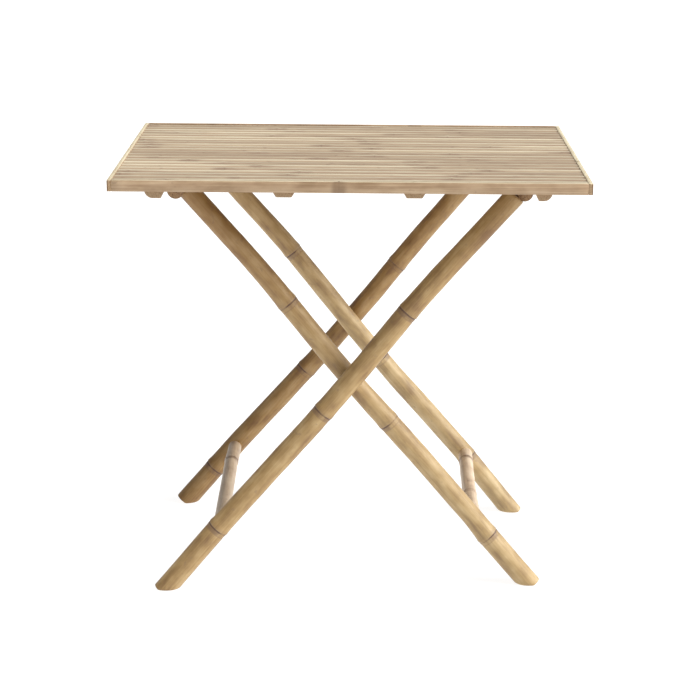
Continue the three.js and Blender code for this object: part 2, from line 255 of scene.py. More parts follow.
def bamboo(name, pale, middle, dark, scar, scar_reach, scar_share, mottle=0.3, roughness=0.5,
           line_share=0.75, crown=None, tones=(0.88, 1.12), collar=False,
           hue_swing=0.0, spots=0.45, spread=0.18):
    """Sanded bamboo with a clear matt lacquer. It has long fibres, cloudy patches, and a darker
    band with a thin scar line at each growth ring. The ring attribute is the distance to it."""
    material = bpy.data.materials.new(name)
    material.use_nodes = True
    tree = material.node_tree
    shader = tree.nodes["Principled BSDF"]
    fibre = node(tree, "ShaderNodeAttribute", attribute_name="fibre").outputs["Vector"]

    # Lengths and widths in millimetres. The finest fibre is drawn 2.4 mm wide, because the real
    # one, about 0.5 mm, is too fine to show.
    patterns = []
    for length, width, detail in [
        (160, 2.4, 2),    # fine fibres
        (420, 8, 2),      # broad streaks
        (45, 20, 3),      # clouds
        (14, 10, 2),      # specks
        (60, 24, 1),      # patches
    ]:
        scale = (1 / (length * MM), 1 / (width * MM), 1 / (width * MM))
        drawn = node(tree, "ShaderNodeVectorMath", {0: fibre, 1: scale}, operation="MULTIPLY")
        noise = {"Vector": drawn.outputs[0], "Scale": 1.0, "Detail": detail}
        patterns.append(node(tree, "ShaderNodeTexNoise", noise).outputs["Fac"])
    fine, broad, cloud, speck, patch = patterns

    grain = node(tree, "ShaderNodeMix", {0: 0.5, 2: fine, 3: broad}).outputs[0]
    grain = node(tree, "ShaderNodeMix", {0: mottle, 2: grain, 3: cloud}).outputs[0]
    shade = node(tree, "ShaderNodeMapRange",
                 {0: grain, 1: 0.5 - spread, 2: 0.5 + spread}).outputs[0]
    ramp = node(tree, "ShaderNodeValToRGB", {0: shade})
    ramp.color_ramp.elements[0].color = linear(dark)
    ramp.color_ramp.elements[1].color = linear(pale)
    ramp.color_ramp.elements.new(0.5).color = linear(middle)

    # The skin is duller round a growth ring, more in some patches than in others.
    ring = node(tree, "ShaderNodeAttribute", attribute_name="ring").outputs["Fac"]
    band = node(tree, "ShaderNodeMapRange",
                {0: ring, 1: 0.35 * scar_reach, 2: scar_reach, 3: 1.0, 4: 0.0},
                interpolation_type="SMOOTHSTEP").outputs[0]
    patchy = node(tree, "ShaderNodeMapRange",
                  {0: cloud, 1: 0.35, 2: 0.6, 3: 0.25, 4: 1.0}).outputs[0]
    band = node(tree, "ShaderNodeMath", {0: band, 1: patchy}, operation="MULTIPLY").outputs[0]
    band = node(tree, "ShaderNodeMath", {0: band, 1: scar_share}, operation="MULTIPLY").outputs[0]
    wood = node(tree, "ShaderNodeMix", {0: band, 6: ramp.outputs["Color"], 7: linear(scar)},
                data_type="RGBA").outputs[2]

    # Small brown flecks.
    spot = node(tree, "ShaderNodeMapRange",
                {0: speck, 1: 0.66, 2: 0.74, 3: 0.0, 4: spots}).outputs[0]
    wood = node(tree, "ShaderNodeMix", {0: spot, 6: wood, 7: linear(scar)},
                data_type="RGBA").outputs[2]

    # The scar itself: a dark line that is stronger in some patches. A real one is nearer 1 mm
    # wide, and this is drawn almost 3 mm wide so that it shows.
    line = node(tree, "ShaderNodeMapRange",
                {0: ring, 1: 0.9 * MM, 2: 1.9 * MM, 3: line_share, 4: 0.0},
                interpolation_type="SMOOTHSTEP").outputs[0]
    broken = node(tree, "ShaderNodeMapRange",
                  {0: patch, 1: 0.42, 2: 0.54, 3: 0.25, 4: 1.0}).outputs[0]
    line = node(tree, "ShaderNodeMath", {0: line, 1: broken}, operation="MULTIPLY").outputs[0]
    wood = node(tree, "ShaderNodeMix", {0: line, 6: wood, 7: linear("#4f2f1a")},
                data_type="RGBA").outputs[2]

    tone = node(tree, "ShaderNodeAttribute", attribute_name="tone").outputs["Fac"]
    if crown:
        # One joint's shade runs softly into the next one's.
        own = node(tree, "ShaderNodeMapRange", {0: ring, 1: 0.0, 2: 70 * MM}).outputs[0]
        tone = node(tree, "ShaderNodeMix", {0: own, 2: 0.5, 3: tone}).outputs[0]

    if collar:
        # The leaf sheath left a brown band below the scar, down to a second, fainter line.
        ridge = node(tree, "ShaderNodeAttribute", attribute_name="ridge").outputs["Fac"]
        both = node(tree, "ShaderNodeMath", {0: ring, 1: ridge}, operation="MAXIMUM").outputs[0]
        sheath = node(tree, "ShaderNodeMapRange",
                      {0: both, 1: 6.5 * MM, 2: 8.5 * MM, 3: 0.6, 4: 0.0}).outputs[0]
        part = node(tree, "ShaderNodeMapRange", {0: patch, 1: 0.47, 2: 0.56}).outputs[0]
        sheath = node(tree, "ShaderNodeMath", {0: sheath, 1: part}, operation="MULTIPLY").outputs[0]
        wood = node(tree, "ShaderNodeMix", {0: sheath, 6: wood, 7: linear("#75563a")},
                    data_type="RGBA").outputs[2]
        crest = node(tree, "ShaderNodeMapRange",
                     {0: ridge, 1: 0.4 * MM, 2: 1.6 * MM, 3: 0.4, 4: 0.0}).outputs[0]
        wood = node(tree, "ShaderNodeMix", {0: crest, 6: wood, 7: linear("#7d5c3e")},
                    data_type="RGBA").outputs[2]

    if crown:
        # A painted highlight along the crown, wider on a pale joint, and painted shade on the
        # flanks by the gaps between slats.
        across = node(tree, "ShaderNodeAttribute", attribute_name="across").outputs["Fac"]
        crown_highlight_reach = node(tree, "ShaderNodeMath", {0: grain, 1: 1.1, 2: across}, operation="MULTIPLY_ADD")
        width = node(tree, "ShaderNodeMath", {0: tone, 1: -0.35, 2: crown_highlight_reach.outputs[0]},
                     operation="MULTIPLY_ADD").outputs[0]
        # Painted highlight: the pale crown colour laid over the middle of the round.
        top = node(tree, "ShaderNodeMapRange",
                   {0: width, 1: 0.42, 2: 0.8, 3: 0.9, 4: 0.0}).outputs[0]
        wood = node(tree, "ShaderNodeMix", {0: top, 6: wood, 7: linear(crown)},
                    data_type="RGBA").outputs[2]
        # Painted shade: the flanks darken to the scar colour towards the gaps between slats.
        edge = node(tree, "ShaderNodeMapRange",
                    {0: across, 1: 0.72, 2: 0.95, 3: 0.0, 4: 0.85}).outputs[0]
        wood = node(tree, "ShaderNodeMix", {0: edge, 6: wood, 7: linear(scar)},
                    data_type="RGBA").outputs[2]

    value = node(tree, "ShaderNodeMapRange", {0: tone, 3: tones[0], 4: tones[1]}).outputs[0]
    # The darker culms are redder and stronger in colour, and the paler ones yellower and weaker.
    hue = node(tree, "ShaderNodeMapRange",
               {0: tone, 3: 0.5 - 0.8 * hue_swing, 4: 0.5 + 1.2 * hue_swing}).outputs[0]
    depth = node(tree, "ShaderNodeMapRange",
                 {0: tone, 3: 1 + 20 * hue_swing, 4: 1 - 14 * hue_swing}).outputs[0]
    toned = node(tree, "ShaderNodeHueSaturation",
                 {"Hue": hue, "Saturation": depth, "Value": value, "Color": wood})
    tree.links.new(toned.outputs[0], shader.inputs["Base Color"])

    gloss = node(tree, "ShaderNodeMapRange", {0: grain, 3: roughness + 0.12, 4: roughness - 0.08})
    tree.links.new(gloss.outputs[0], shader.inputs["Roughness"])
    shader.inputs["IOR"].default_value = 1.5
    if collar:
        # The lacquer gives these culms a soft sheen along their length.
        shader.inputs["Coat Weight"].default_value = 0.8
        shader.inputs["Coat Roughness"].default_value = 0.6
    height = node(tree, "ShaderNodeMath", {0: grain, 1: line}, operation="SUBTRACT").outputs[0]
    bump = node(tree, "ShaderNodeBump", {"Strength": 0.35, "Distance": 0.3 * MM, "Height": height})
    tree.links.new(bump.outputs[0], shader.inputs["Normal"])
    return material


# Split bamboo: pinkish brown, browner at the rings, with a painted highlight along the crown
# and painted shade on the flanks.
slat_finish = bamboo("split_bamboo_painted_highlight_and_shade", "#aa987e", "#9d8870", "#86705b", "#7a6250",
                     scar_reach=28 * MM, scar_share=0.6, mottle=0.35, roughness=0.55,
                     line_share=0.2, crown="#c6bda3")

slat_tree, sizes = tree_with("slat_row", {
    "Count": "Int", "Pitch": "Vector", "First": "Vector", "Seed": "Int",
    "Ring Spacing Min": "Float", "Ring Spacing Max": "Float", "Ring Swell": "Float",
    "Ring Half Width": "Float", "Finish": "Material",
})
line = node(slat_tree, "GeometryNodeMeshLine",
            {"Count": sizes["Count"], "Start Location": sizes["First"], "Offset": sizes["Pitch"]})
row = node(slat_tree, "GeometryNodeInstanceOnPoints",
           {"Points": line.outputs[0], "Instance": sizes["Mesh"]})
number = node(slat_tree, "GeometryNodeInputIndex").outputs[0]
numbered = node(slat_tree, "GeometryNodeStoreNamedAttribute",
                {"Geometry": row.outputs[0], "Name": "slat", "Value": number},
                data_type="FLOAT", domain="INSTANCE")
slats = node(slat_tree, "GeometryNodeRealizeInstances", {0: numbered.outputs[0]}).outputs[0]

slat = node(slat_tree, "GeometryNodeInputNamedAttribute", {"Name": "slat"}).outputs[0]
whole = node(slat_tree, "FunctionNodeFloatToInt", {0: slat}).outputs[0]
spacing = node(slat_tree, "FunctionNodeRandomValue",
               {2: sizes["Ring Spacing Min"], 3: sizes["Ring Spacing Max"], "ID": whole,
                "Seed": sizes["Seed"]}).outputs[1]
next_seed = node(slat_tree, "ShaderNodeMath", {0: sizes["Seed"], 1: 1.0}).outputs[0]
start = node(slat_tree, "FunctionNodeRandomValue",
             {2: 0.0, 3: sizes["Ring Spacing Max"], "ID": whole, "Seed": next_seed}).outputs[1]
here = node(slat_tree, "GeometryNodeInputPosition").outputs[0]
along = node(slat_tree, "ShaderNodeSeparateXYZ", {0: here}).outputs[0]
past = node(slat_tree, "ShaderNodeMath", {0: along, 1: start}, operation="SUBTRACT").outputs[0]
half_spacing = node(slat_tree, "ShaderNodeMath", {0: spacing, 1: 0.5},
                    operation="MULTIPLY").outputs[0]
away = node(slat_tree, "ShaderNodeMath", {0: past, 1: half_spacing},
            operation="PINGPONG").outputs[0]

# Each joint between two rings has a number of its own, which picks its tone.
joint = node(slat_tree, "ShaderNodeMath", {0: past, 1: spacing}, operation="DIVIDE").outputs[0]
joint = node(slat_tree, "ShaderNodeMath", {0: joint}, operation="FLOOR").outputs[0]
joint = node(slat_tree, "ShaderNodeMath", {0: slat, 1: 10.0, 2: joint},
             operation="MULTIPLY_ADD").outputs[0]
joint = node(slat_tree, "FunctionNodeFloatToInt", {0: joint}).outputs[0]
third_seed = node(slat_tree, "ShaderNodeMath", {0: sizes["Seed"], 1: 2.0}).outputs[0]
tone = node(slat_tree, "FunctionNodeRandomValue",
            {2: 0.0, 3: 1.0, "ID": joint, "Seed": third_seed}).outputs[1]

# The crown swells a little at a ring, and the flat underside doesn't.
swell = node(slat_tree, "ShaderNodeMapRange",
             {0: away, 1: 0.0, 2: sizes["Ring Half Width"], 3: sizes["Ring Swell"], 4: 0.0},
             interpolation_type="SMOOTHSTEP").outputs[0]
normal = node(slat_tree, "ShaderNodeSeparateXYZ",
              {0: node(slat_tree, "GeometryNodeInputNormal").outputs[0]}).outputs[2]
upward = node(slat_tree, "ShaderNodeMath", {0: normal, 1: 0.0}, operation="MAXIMUM").outputs[0]
lift = node(slat_tree, "ShaderNodeMath", {0: swell, 1: upward}, operation="MULTIPLY").outputs[0]
offset = node(slat_tree, "ShaderNodeCombineXYZ", {2: lift}).outputs[0]

# Every slat reads its own stretch of the fibre pattern, 2.7 m further on.
shift = node(slat_tree, "ShaderNodeMath", {0: slat, 1: 2.7}, operation="MULTIPLY").outputs[0]
shift = node(slat_tree, "ShaderNodeCombineXYZ", {0: shift}).outputs[0]
fibre = node(slat_tree, "ShaderNodeVectorMath", {0: here, 1: shift}).outputs[0]
for label, kind, value in [
    ("ring", "FLOAT", away), ("tone", "FLOAT", tone), ("fibre", "FLOAT_VECTOR", fibre),
]:
    slats = node(slat_tree, "GeometryNodeStoreNamedAttribute",
                 {"Geometry": slats, "Name": label, "Value": value},
                 data_type=kind, domain="POINT").outputs[0]
slats = node(slat_tree, "GeometryNodeSetPosition", {"Geometry": slats, "Offset": offset}).outputs[0]
slats = node(slat_tree, "GeometryNodeSetMaterial",
             {"Geometry": slats, "Material": sizes["Finish"]}).outputs[0]
node(slat_tree, "NodeGroupOutput", {0: slats})

steps = round(slat_length / SLAT_STEP)
sections = [slat_section(-slat_length / 2, SLAT_END_ARRIS)]
sections += [slat_section(slat_length * (k / steps - 0.5), 0) for k in range(1, steps)]
sections += [slat_section(slat_length / 2, SLAT_END_ARRIS)]
blank = loft("slat_blank", sections)
shares = [abs(vertex.co.y) / (slat_width / 2) for vertex in blank.vertices]
blank.attributes.new("across", "FLOAT", "POINT").data.foreach_set("value", shares)
slat_mesh = grown("slats", blank, slat_tree, {
    "Count": SLAT_COUNT, "Pitch": (0, slat_pitch, 0),
    "First": (0, (low_slat.y + high_slat.y) / 2, low_slat.z), "Seed": 7,
    "Ring Spacing Min": 0.27, "Ring Spacing Max": 0.46, "Ring Swell": 0.45 * MM,
    "Ring Half Width": 6 * MM, "Finish": slat_finish,
})
slat_mesh.shade_smooth()
slat_mesh.set_sharp_from_angle(angle=math.radians(35))
slat_names = [f"slat_{k + 1:02d}" for k in range(SLAT_COUNT)]
placed("slats", slat_mesh, "tabletop", "slat_bamboo", *slat_names)


# ---- Rails ----
# Thin bamboo strips on edge round the slats, glued and pinned. The side rails run the whole
# depth, so their end grain shows at the corners, and the long rails fit between them.

RAIL_ARRIS = 0.8 * MM
RAIL_STEPS = 40
ARRIS_POINTS = 3
END_SHARE = 0.6    # how much of the arris the ends are drawn in


def strip_sections(low, high, axis, stops, arris):
    """Rounded rectangles along one axis of a box, drawn in at both ends."""
    middle, half = (low + high) / 2, (high - low) / 2
    other = 1 - axis
    length = 2 * half[axis]
    made = []
    for stop in stops:
        edge = min(stop, length - stop)
        inset = max(0.0, arris - edge) * END_SHARE
        width, height = half[other] - inset, half[2] - inset
        outline = []
        for across, up in [(-1, -1), (1, -1), (1, 1), (-1, 1)]:
            for k in range(ARRIS_POINTS):
                angle = math.atan2(up, across) + math.radians(45 * (k - 1))
                corner = Vector((math.cos(angle), math.sin(angle))) * arris
                sideways = across * (width - arris) + corner.x
                outline.append((sideways, up * (height - arris) + corner.y))
        for sideways, up in outline:
            point = middle.copy()
            point[axis] += stop - half[axis]
            point[other] += sideways
            point[2] += up
            made.append(point)
    around = 4 * ARRIS_POINTS
    return [made[k:k + around] for k in range(0, len(made), around)]


RIDGE = -8 * MM    # from the scar down to the fainter line where the sheath ended


def mark(mesh, turned, rings, tone, start=0.0):
    """Gives a mesh its fibre direction, the distance to its nearest growth ring, and its tone.
    turned says where each point lies along the fibre and across it."""
    fibres, distances, ridges = [], [], []
    for vertex in mesh.vertices:
        local = turned(vertex.co)
        fibres += [local.x + start, local.y, local.z]
        distances.append(min(abs(local.x - place) for place in rings))
        ridges.append(min(abs(local.x - place - RIDGE) for place in rings))
    for label, kind, field, values in [
        ("fibre", "FLOAT_VECTOR", "vector", fibres),
        ("ring", "FLOAT", "value", distances),
        ("tone", "FLOAT", "value", [tone] * len(distances)),
        ("ridge", "FLOAT", "value", ridges),
    ]:
        mesh.attributes.new(label, kind, "POINT").data.foreach_set(field, values)


def end_grain(name, ground, dot, skin_at=None):
    """A sawn end of bamboo: pale soft tissue full of darker fibre bundles, denser outwards. A
    strip's hard dark skin shows as a line beyond skin_at, its distance from the middle."""
    material = bpy.data.materials.new(name)
    material.use_nodes = True
    tree = material.node_tree
    shader = tree.nodes["Principled BSDF"]
    fibre = node(tree, "ShaderNodeAttribute", attribute_name="fibre").outputs["Vector"]
    # Fibre bundles stand about 1 mm apart, drawn 1.8 mm apart so that they show.
    bundles = node(tree, "ShaderNodeTexVoronoi", {"Vector": fibre, "Scale": 1 / (1.8 * MM)})
    dots = node(tree, "ShaderNodeMapRange", {0: bundles.outputs["Distance"], 1: 0.15, 2: 0.55})
    stain = node(tree, "ShaderNodeTexNoise",
                 {"Vector": fibre, "Scale": 1 / (7 * MM), "Detail": 2.0})
    mixed = node(tree, "ShaderNodeMix", {0: 0.5, 2: dots.outputs[0], 3: stain.outputs["Fac"]})
    ramp = node(tree, "ShaderNodeValToRGB", {0: mixed.outputs[0]})
    ramp.color_ramp.elements[0].position = 0.2
    ramp.color_ramp.elements[0].color = linear(dot)
    ramp.color_ramp.elements[1].position = 0.75
    ramp.color_ramp.elements[1].color = linear(ground)
    wood = ramp.outputs["Color"]
    if skin_at:
        sideways = node(tree, "ShaderNodeSeparateXYZ", {0: fibre}).outputs[1]
        sideways = node(tree, "ShaderNodeMath", {0: sideways}, operation="ABSOLUTE").outputs[0]
        skin = node(tree, "ShaderNodeMapRange",
                    {0: sideways, 1: skin_at, 2: skin_at + 0.8 * MM, 3: 0.0, 4: 0.9}).outputs[0]
        wood = node(tree, "ShaderNodeMix", {0: skin, 6: wood, 7: linear("#5f4128")},
                    data_type="RGBA").outputs[2]
    tree.links.new(wood, shader.inputs["Base Color"])
    shader.inputs["Roughness"].default_value = 0.75
    bump = node(tree, "ShaderNodeBump",
                {"Strength": 0.4, "Distance": 0.3 * MM, "Height": mixed.outputs[0]})
    tree.links.new(bump.outputs[0], shader.inputs["Normal"])
    return material


# Planed bamboo strip: even tan with long streaks, and a broad dull band where a ring was.
rail_finish = bamboo("planed_bamboo_strip", "#bba182", "#a98d6e", "#8e7253", "#7c6246",
                     scar_reach=17 * MM, scar_share=0.75, mottle=0.35, roughness=0.5,
                     line_share=0.1, spread=0.11)
# Sanded top edge of a strip: cream, because the saw went through the pale inner fibre.
pale_edge = bamboo("sanded_strip_edge", "#d3c8ac", "#c3b698", "#a8957a", "#a08a6c",
                   scar_reach=12 * MM, scar_share=0.4, mottle=0.3, roughness=0.5)
# Sawn ends: dotted brown, with a dark line of hard skin on the outer side of a rail.
strip_end = end_grain("sawn_bamboo_strip_end", "#a98e6e", "#86694a")
rail_end = end_grain("sawn_rail_end", "#a98e6e", "#86694a", skin_at=high_slat.x + 6.2 * MM)


def finish_ends(mesh, side_finish, end_finish, axis, top_finish=None):
    """Side material all round, the sawn one on the faces that look along the axis, and one of
    its own for the top edge."""
    for finish in (side_finish, end_finish, top_finish):
        if finish:
            mesh.materials.append(finish)
    for face in mesh.polygons:
        if abs(face.normal.dot(axis)) > 0.95:
            face.material_index = 1
        elif top_finish and face.normal.z > 0.5:
            face.material_index = 2


for label, axis, rings, tone in [
    ("front_rail", 0, [-0.018], 0.45),
    ("back_rail", 0, [-0.27, 0.12], 0.55),
    ("left_rail", 1, [0.14], 0.75),
    ("right_rail", 1, [-0.09], 0.85),
]:
    low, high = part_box(label)
    length = high[axis] - low[axis]
    middle = (low[axis] + high[axis]) / 2
    stops = {0.0, 0.3 * MM, RAIL_ARRIS, length - RAIL_ARRIS, length - 0.3 * MM, length}
    stops |= {length * k / RAIL_STEPS for k in range(1, RAIL_STEPS)}
    for place in rings:
        stops |= {place - middle + length / 2 + step * MM
                  for step in (-8, -5, -3, -1, 0, 1, 3, 5, 8)}
    rail = loft(label, strip_sections(low, high, axis, sorted(stops), RAIL_ARRIS))
    if axis == 0:
        mark(rail, lambda p: Vector((p.x, p.y, p.z)), rings, tone, start=low.y * 30)
    else:
        mark(rail, lambda p: Vector((p.y, p.x, p.z)), rings, tone, start=low.x * 30)
    top_edge = None if label == "back_rail" else pale_edge
    finish_ends(rail, rail_finish, rail_end, Vector((1 - axis, axis, 0)), top_edge)
    rail.shade_smooth()
    rail.set_sharp_from_angle(angle=math.radians(40))
    placed(label + "_strip", rail, "tabletop", "rail_bamboo", label)


# ---- Battens ----
# Four bamboo battens under the slats, front to back. The middle ones have slanted sides. The
# end ones are slanted where a top bar bears against them, and rounded outside.

BATTEN_ARRIS = 1.2 * MM
BATTEN_SLANT = 8 * MM     # how far a side slants in from top to bottom
BATTEN_ROUND = 14 * MM    # how far the end battens' round reaches
BATTEN_STEPS = 24


def softened(points, radius):
    """The outline with each corner cut back twice, so that it reads as rounded."""
    made = []
    count = len(points)
    for k, corner in enumerate(points):
        before = points[k - 1] - corner
        after = points[(k + 1) % count] - corner
        reach = min(radius, before.length / 3, after.length / 3)
        one = corner + before.normalized() * reach
        two = corner + after.normalized() * reach
        made += [one, (one + two) / 4 + corner / 2, two]
    return made


for label, mirror, tone in [
    ("end_batten_left", -1, 0.4), ("middle_batten_left", -1, 0.3),
    ("middle_batten_right", 1, 0.45), ("end_batten_right", 1, 0.6),
]:
    low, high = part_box(label)
    near, far = (low.x, high.x) if mirror > 0 else (-high.x, -low.x)
    outline = [Vector((near, high.z)), Vector((near + BATTEN_SLANT, low.z))]
    if label.startswith("end"):
        turn_in = Vector((far - BATTEN_ROUND, low.z))
        outline.append(turn_in)
        for k in range(1, 7):
            angle = math.radians(15 * k)
            rise = (high.z - low.z) * (1 - math.cos(angle))
            outline.append(turn_in + Vector((BATTEN_ROUND * math.sin(angle), rise)))
    else:
        outline += [Vector((far - BATTEN_SLANT, low.z)), Vector((far, high.z))]
    outline = softened(outline, BATTEN_ARRIS)
    centre = sum(outline, Vector((0, 0))) / len(outline)
    length = high.y - low.y
    stops = [0, 0.4 * MM, BATTEN_ARRIS]
    stops += [length * k / BATTEN_STEPS for k in range(1, BATTEN_STEPS)]
    stops += [length - BATTEN_ARRIS, length - 0.4 * MM, length]
    sections = []
    for stop in stops:
        inset = max(0.0, BATTEN_ARRIS - min(stop, length - stop)) * END_SHARE
        ring = []
        for point in outline:
            inward = (centre - point).normalized() * inset
            ring.append((mirror * (point.x + inward.x), low.y + stop, point.y + inward.y))
        sections.append(ring)
    batten = loft(label, sections)
    mark(batten, lambda p: Vector((p.y, p.x, p.z)), [0.31 * mirror * tone], tone, start=low.x * 30)
    finish_ends(batten, rail_finish, strip_end, Vector((0, 1, 0)))
    batten.shade_smooth()
    batten.set_sharp_from_angle(angle=math.radians(25))
    placed(label + "_strip", batten, "tabletop", "rail_bamboo", label)


# ---- Brads ----
# Small steel brads, driven in flush through the long rails and into both ends of a middle
# batten. Only a few of their dull heads show.

def steel(name, pale, dark, roughness):
    """Steel, bare or plated: a grey that clouds a little, in its colour and in its gloss."""
    material = bpy.data.materials.new(name)
    material.use_nodes = True
    tree = material.node_tree
    shader = tree.nodes["Principled BSDF"]
    place = node(tree, "ShaderNodeTexCoord").outputs["Object"]
    cloud = node(tree, "ShaderNodeTexNoise",
                 {"Vector": place, "Scale": 1 / (4 * MM), "Detail": 3.0})
    ramp = node(tree, "ShaderNodeValToRGB", {0: cloud.outputs["Fac"]})
    ramp.color_ramp.elements[0].color = linear(dark)
    ramp.color_ramp.elements[1].color = linear(pale)
    tree.links.new(ramp.outputs["Color"], shader.inputs["Base Color"])
    gloss = node(tree, "ShaderNodeMapRange",
                 {0: cloud.outputs["Fac"], 3: roughness - 0.1, 4: roughness + 0.12})
    tree.links.new(gloss.outputs[0], shader.inputs["Roughness"])
    shader.inputs["Metallic"].default_value = 1.0
    return material


# Bare steel gone dull: a small brown-grey dot with no shine.
brad_steel = steel("dull_brad_steel", "#8a7f74", "#5b5048", 0.55)

BRAD_RADIUS = 0.95 * MM
BRAD_TIP_SHARE = 0.7
BRAD_PROUD = 0.12 * MM
BRAD_SINK = 1.0 * MM
BRAD_ASIDE = 0.207         # from the rail's middle
BRAD_UP = 4 * MM           # above the rail's lower edge
BATTEN_BRAD_DOWN = 5 * MM  # below it, in the batten's end

head = bmesh.new()
bmesh.ops.create_cone(
    head, cap_ends=True, segments=12, radius1=BRAD_RADIUS, radius2=BRAD_TIP_SHARE * BRAD_RADIUS,
    depth=BRAD_SINK + BRAD_PROUD,
    matrix=Matrix.Translation((0, 0, (BRAD_PROUD - BRAD_SINK) / 2)),
)
brad_head = bpy.data.meshes.new("brad_head")
head.to_mesh(brad_head)
head.free()
brad_shape = bpy.data.objects.new("brad_shape", brad_head)

brad_tree, sizes = tree_with(
    "brad_row", {"Brad": "Object", "Turn": "Rotation", "Finish": "Material"}
)
shape = node(brad_tree, "GeometryNodeObjectInfo", {"Object": sizes["Brad"]}).outputs["Geometry"]
row = node(brad_tree, "GeometryNodeInstanceOnPoints",
           {"Points": sizes["Mesh"], "Instance": shape, "Rotation": sizes["Turn"]})
real = node(brad_tree, "GeometryNodeRealizeInstances", {0: row.outputs[0]})
done = node(brad_tree, "GeometryNodeSetMaterial",
            {"Geometry": real.outputs[0], "Material": sizes["Finish"]})
node(brad_tree, "NodeGroupOutput", {0: done.outputs[0]})

near_end, far_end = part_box("middle_batten_right")
for label, side in [("front_rail", -1), ("back_rail", 1)]:
    low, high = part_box(label)
    face, batten_end = (low.y, near_end.y) if side < 0 else (high.y, far_end.y)
    spots = [
        (-side * BRAD_ASIDE, face, low.z + BRAD_UP),
        ((near_end.x + far_end.x) / 2, batten_end, low.z - BATTEN_BRAD_DOWN),
    ]
    points = bpy.data.meshes.new(label + "_brad_spots")
    points.from_pydata(spots, [], [])
    brads = grown(label + "_brads", points, brad_tree, {
        "Brad": brad_shape, "Turn": (-side * math.pi / 2, 0, 0), "Finish": brad_steel,
    })
    piece = bpy.data.objects.new(label + "_brads", brads)
    bpy.context.scene.collection.objects.link(piece)
    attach(piece, "tabletop")
bpy.data.objects.remove(brad_shape)


# ---- Legs ----
# Whole bamboo culms, sanded and lacquered. Each is sawn square at its top and level at its
# foot. At every growth ring the culm thickens, turns a little, and carries a thin leaf scar.

LEAN = math.radians(40)
PIVOT = Vector(frame["joints"][0]["pos_m"])
LEG_TOP = 0.4305    # the bar beds 2.5 mm into the culm's end
FOOT = -PIVOT.z / math.cos(LEAN)
CULM_SIDES = 56
CULM_STEPS = 60
CULM_DENT = 1.6 * MM
CULM_SHIFT = 3.1    # metres on, in the fibre pattern, for each seed

culm_tree, sizes = tree_with("culm", {
    "Sides": "Int", "Dent": "Float", "Dent Length": "Float", "Seed": "Float", "Finish": "Material",
})
path = node(culm_tree, "GeometryNodeMeshToCurve", {0: sizes["Mesh"]}).outputs[0]
thick = node(culm_tree, "GeometryNodeInputNamedAttribute", {"Name": "thick"}).outputs[0]
round_section = node(culm_tree, "GeometryNodeCurvePrimitiveCircle",
                     {"Resolution": sizes["Sides"], "Radius": 1.0}).outputs[0]
tube = node(culm_tree, "GeometryNodeCurveToMesh",
            {"Curve": path, "Profile Curve": round_section, "Scale": thick,
             "Fill Caps": True}).outputs[0]

# Broad shallow dents, longer than they are wide, so that the culm isn't quite round.
place = node(culm_tree, "GeometryNodeInputPosition").outputs[0]
flat = node(culm_tree, "ShaderNodeVectorMath", {0: place, 1: (2.2, 2.2, 1.0)},
            operation="MULTIPLY").outputs[0]
scale = node(culm_tree, "ShaderNodeMath", {0: 1.0, 1: sizes["Dent Length"]},
             operation="DIVIDE").outputs[0]
waves = node(culm_tree, "ShaderNodeTexNoise",
             {"Vector": flat, "W": sizes["Seed"], "Scale": scale, "Detail": 1.0},
             noise_dimensions="4D").outputs["Fac"]
dent = node(culm_tree, "ShaderNodeMath", {0: waves, 1: 0.55}, operation="SUBTRACT").outputs[0]
dent = node(culm_tree, "ShaderNodeMath", {0: dent, 1: sizes["Dent"]},
            operation="MULTIPLY").outputs[0]
outward = node(culm_tree, "ShaderNodeVectorMath", {0: place, 1: (1, 1, 0)},
               operation="MULTIPLY").outputs[0]
outward = node(culm_tree, "ShaderNodeVectorMath", {0: outward}, operation="NORMALIZE").outputs[0]
push = node(culm_tree, "ShaderNodeVectorMath", {0: outward, "Scale": dent},
            operation="SCALE").outputs[0]
tube = node(culm_tree, "GeometryNodeSetPosition", {"Geometry": tube, "Offset": push}).outputs[0]
tube = node(culm_tree, "GeometryNodeSetMaterial",
            {"Geometry": tube, "Material": sizes["Finish"]}).outputs[0]
node(culm_tree, "NodeGroupOutput", {0: tube})


def ring_profile(away, swell, groove):
    """How far the skin stands out at a distance up from a leaf scar: a cut at the scar, and a
    swelling that is steeper below it than above."""
    rise = 4.5 * MM if away < 0 else 8 * MM
    bulge = swell * math.exp(-((away - 2 * MM) / rise) ** 2)
    cut = groove * math.exp(-(away / (0.9 * MM)) ** 2)
    second = 0.4 * groove * math.exp(-((away - RIDGE) / (1.0 * MM)) ** 2)
    return bulge - cut - second


def grows(line, up):
    """How far the culm stands aside, and how much thicker it is, at a height in millimetres."""
    if up <= line[0][0]:
        return line[0][1:]
    for (low, *below), (high, *above) in zip(line, line[1:]):
        if up <= high:
            share = (up - low) / (high - low)
            return [b + (a - b) * share for b, a in zip(below, above)]
    return line[-1][1:]


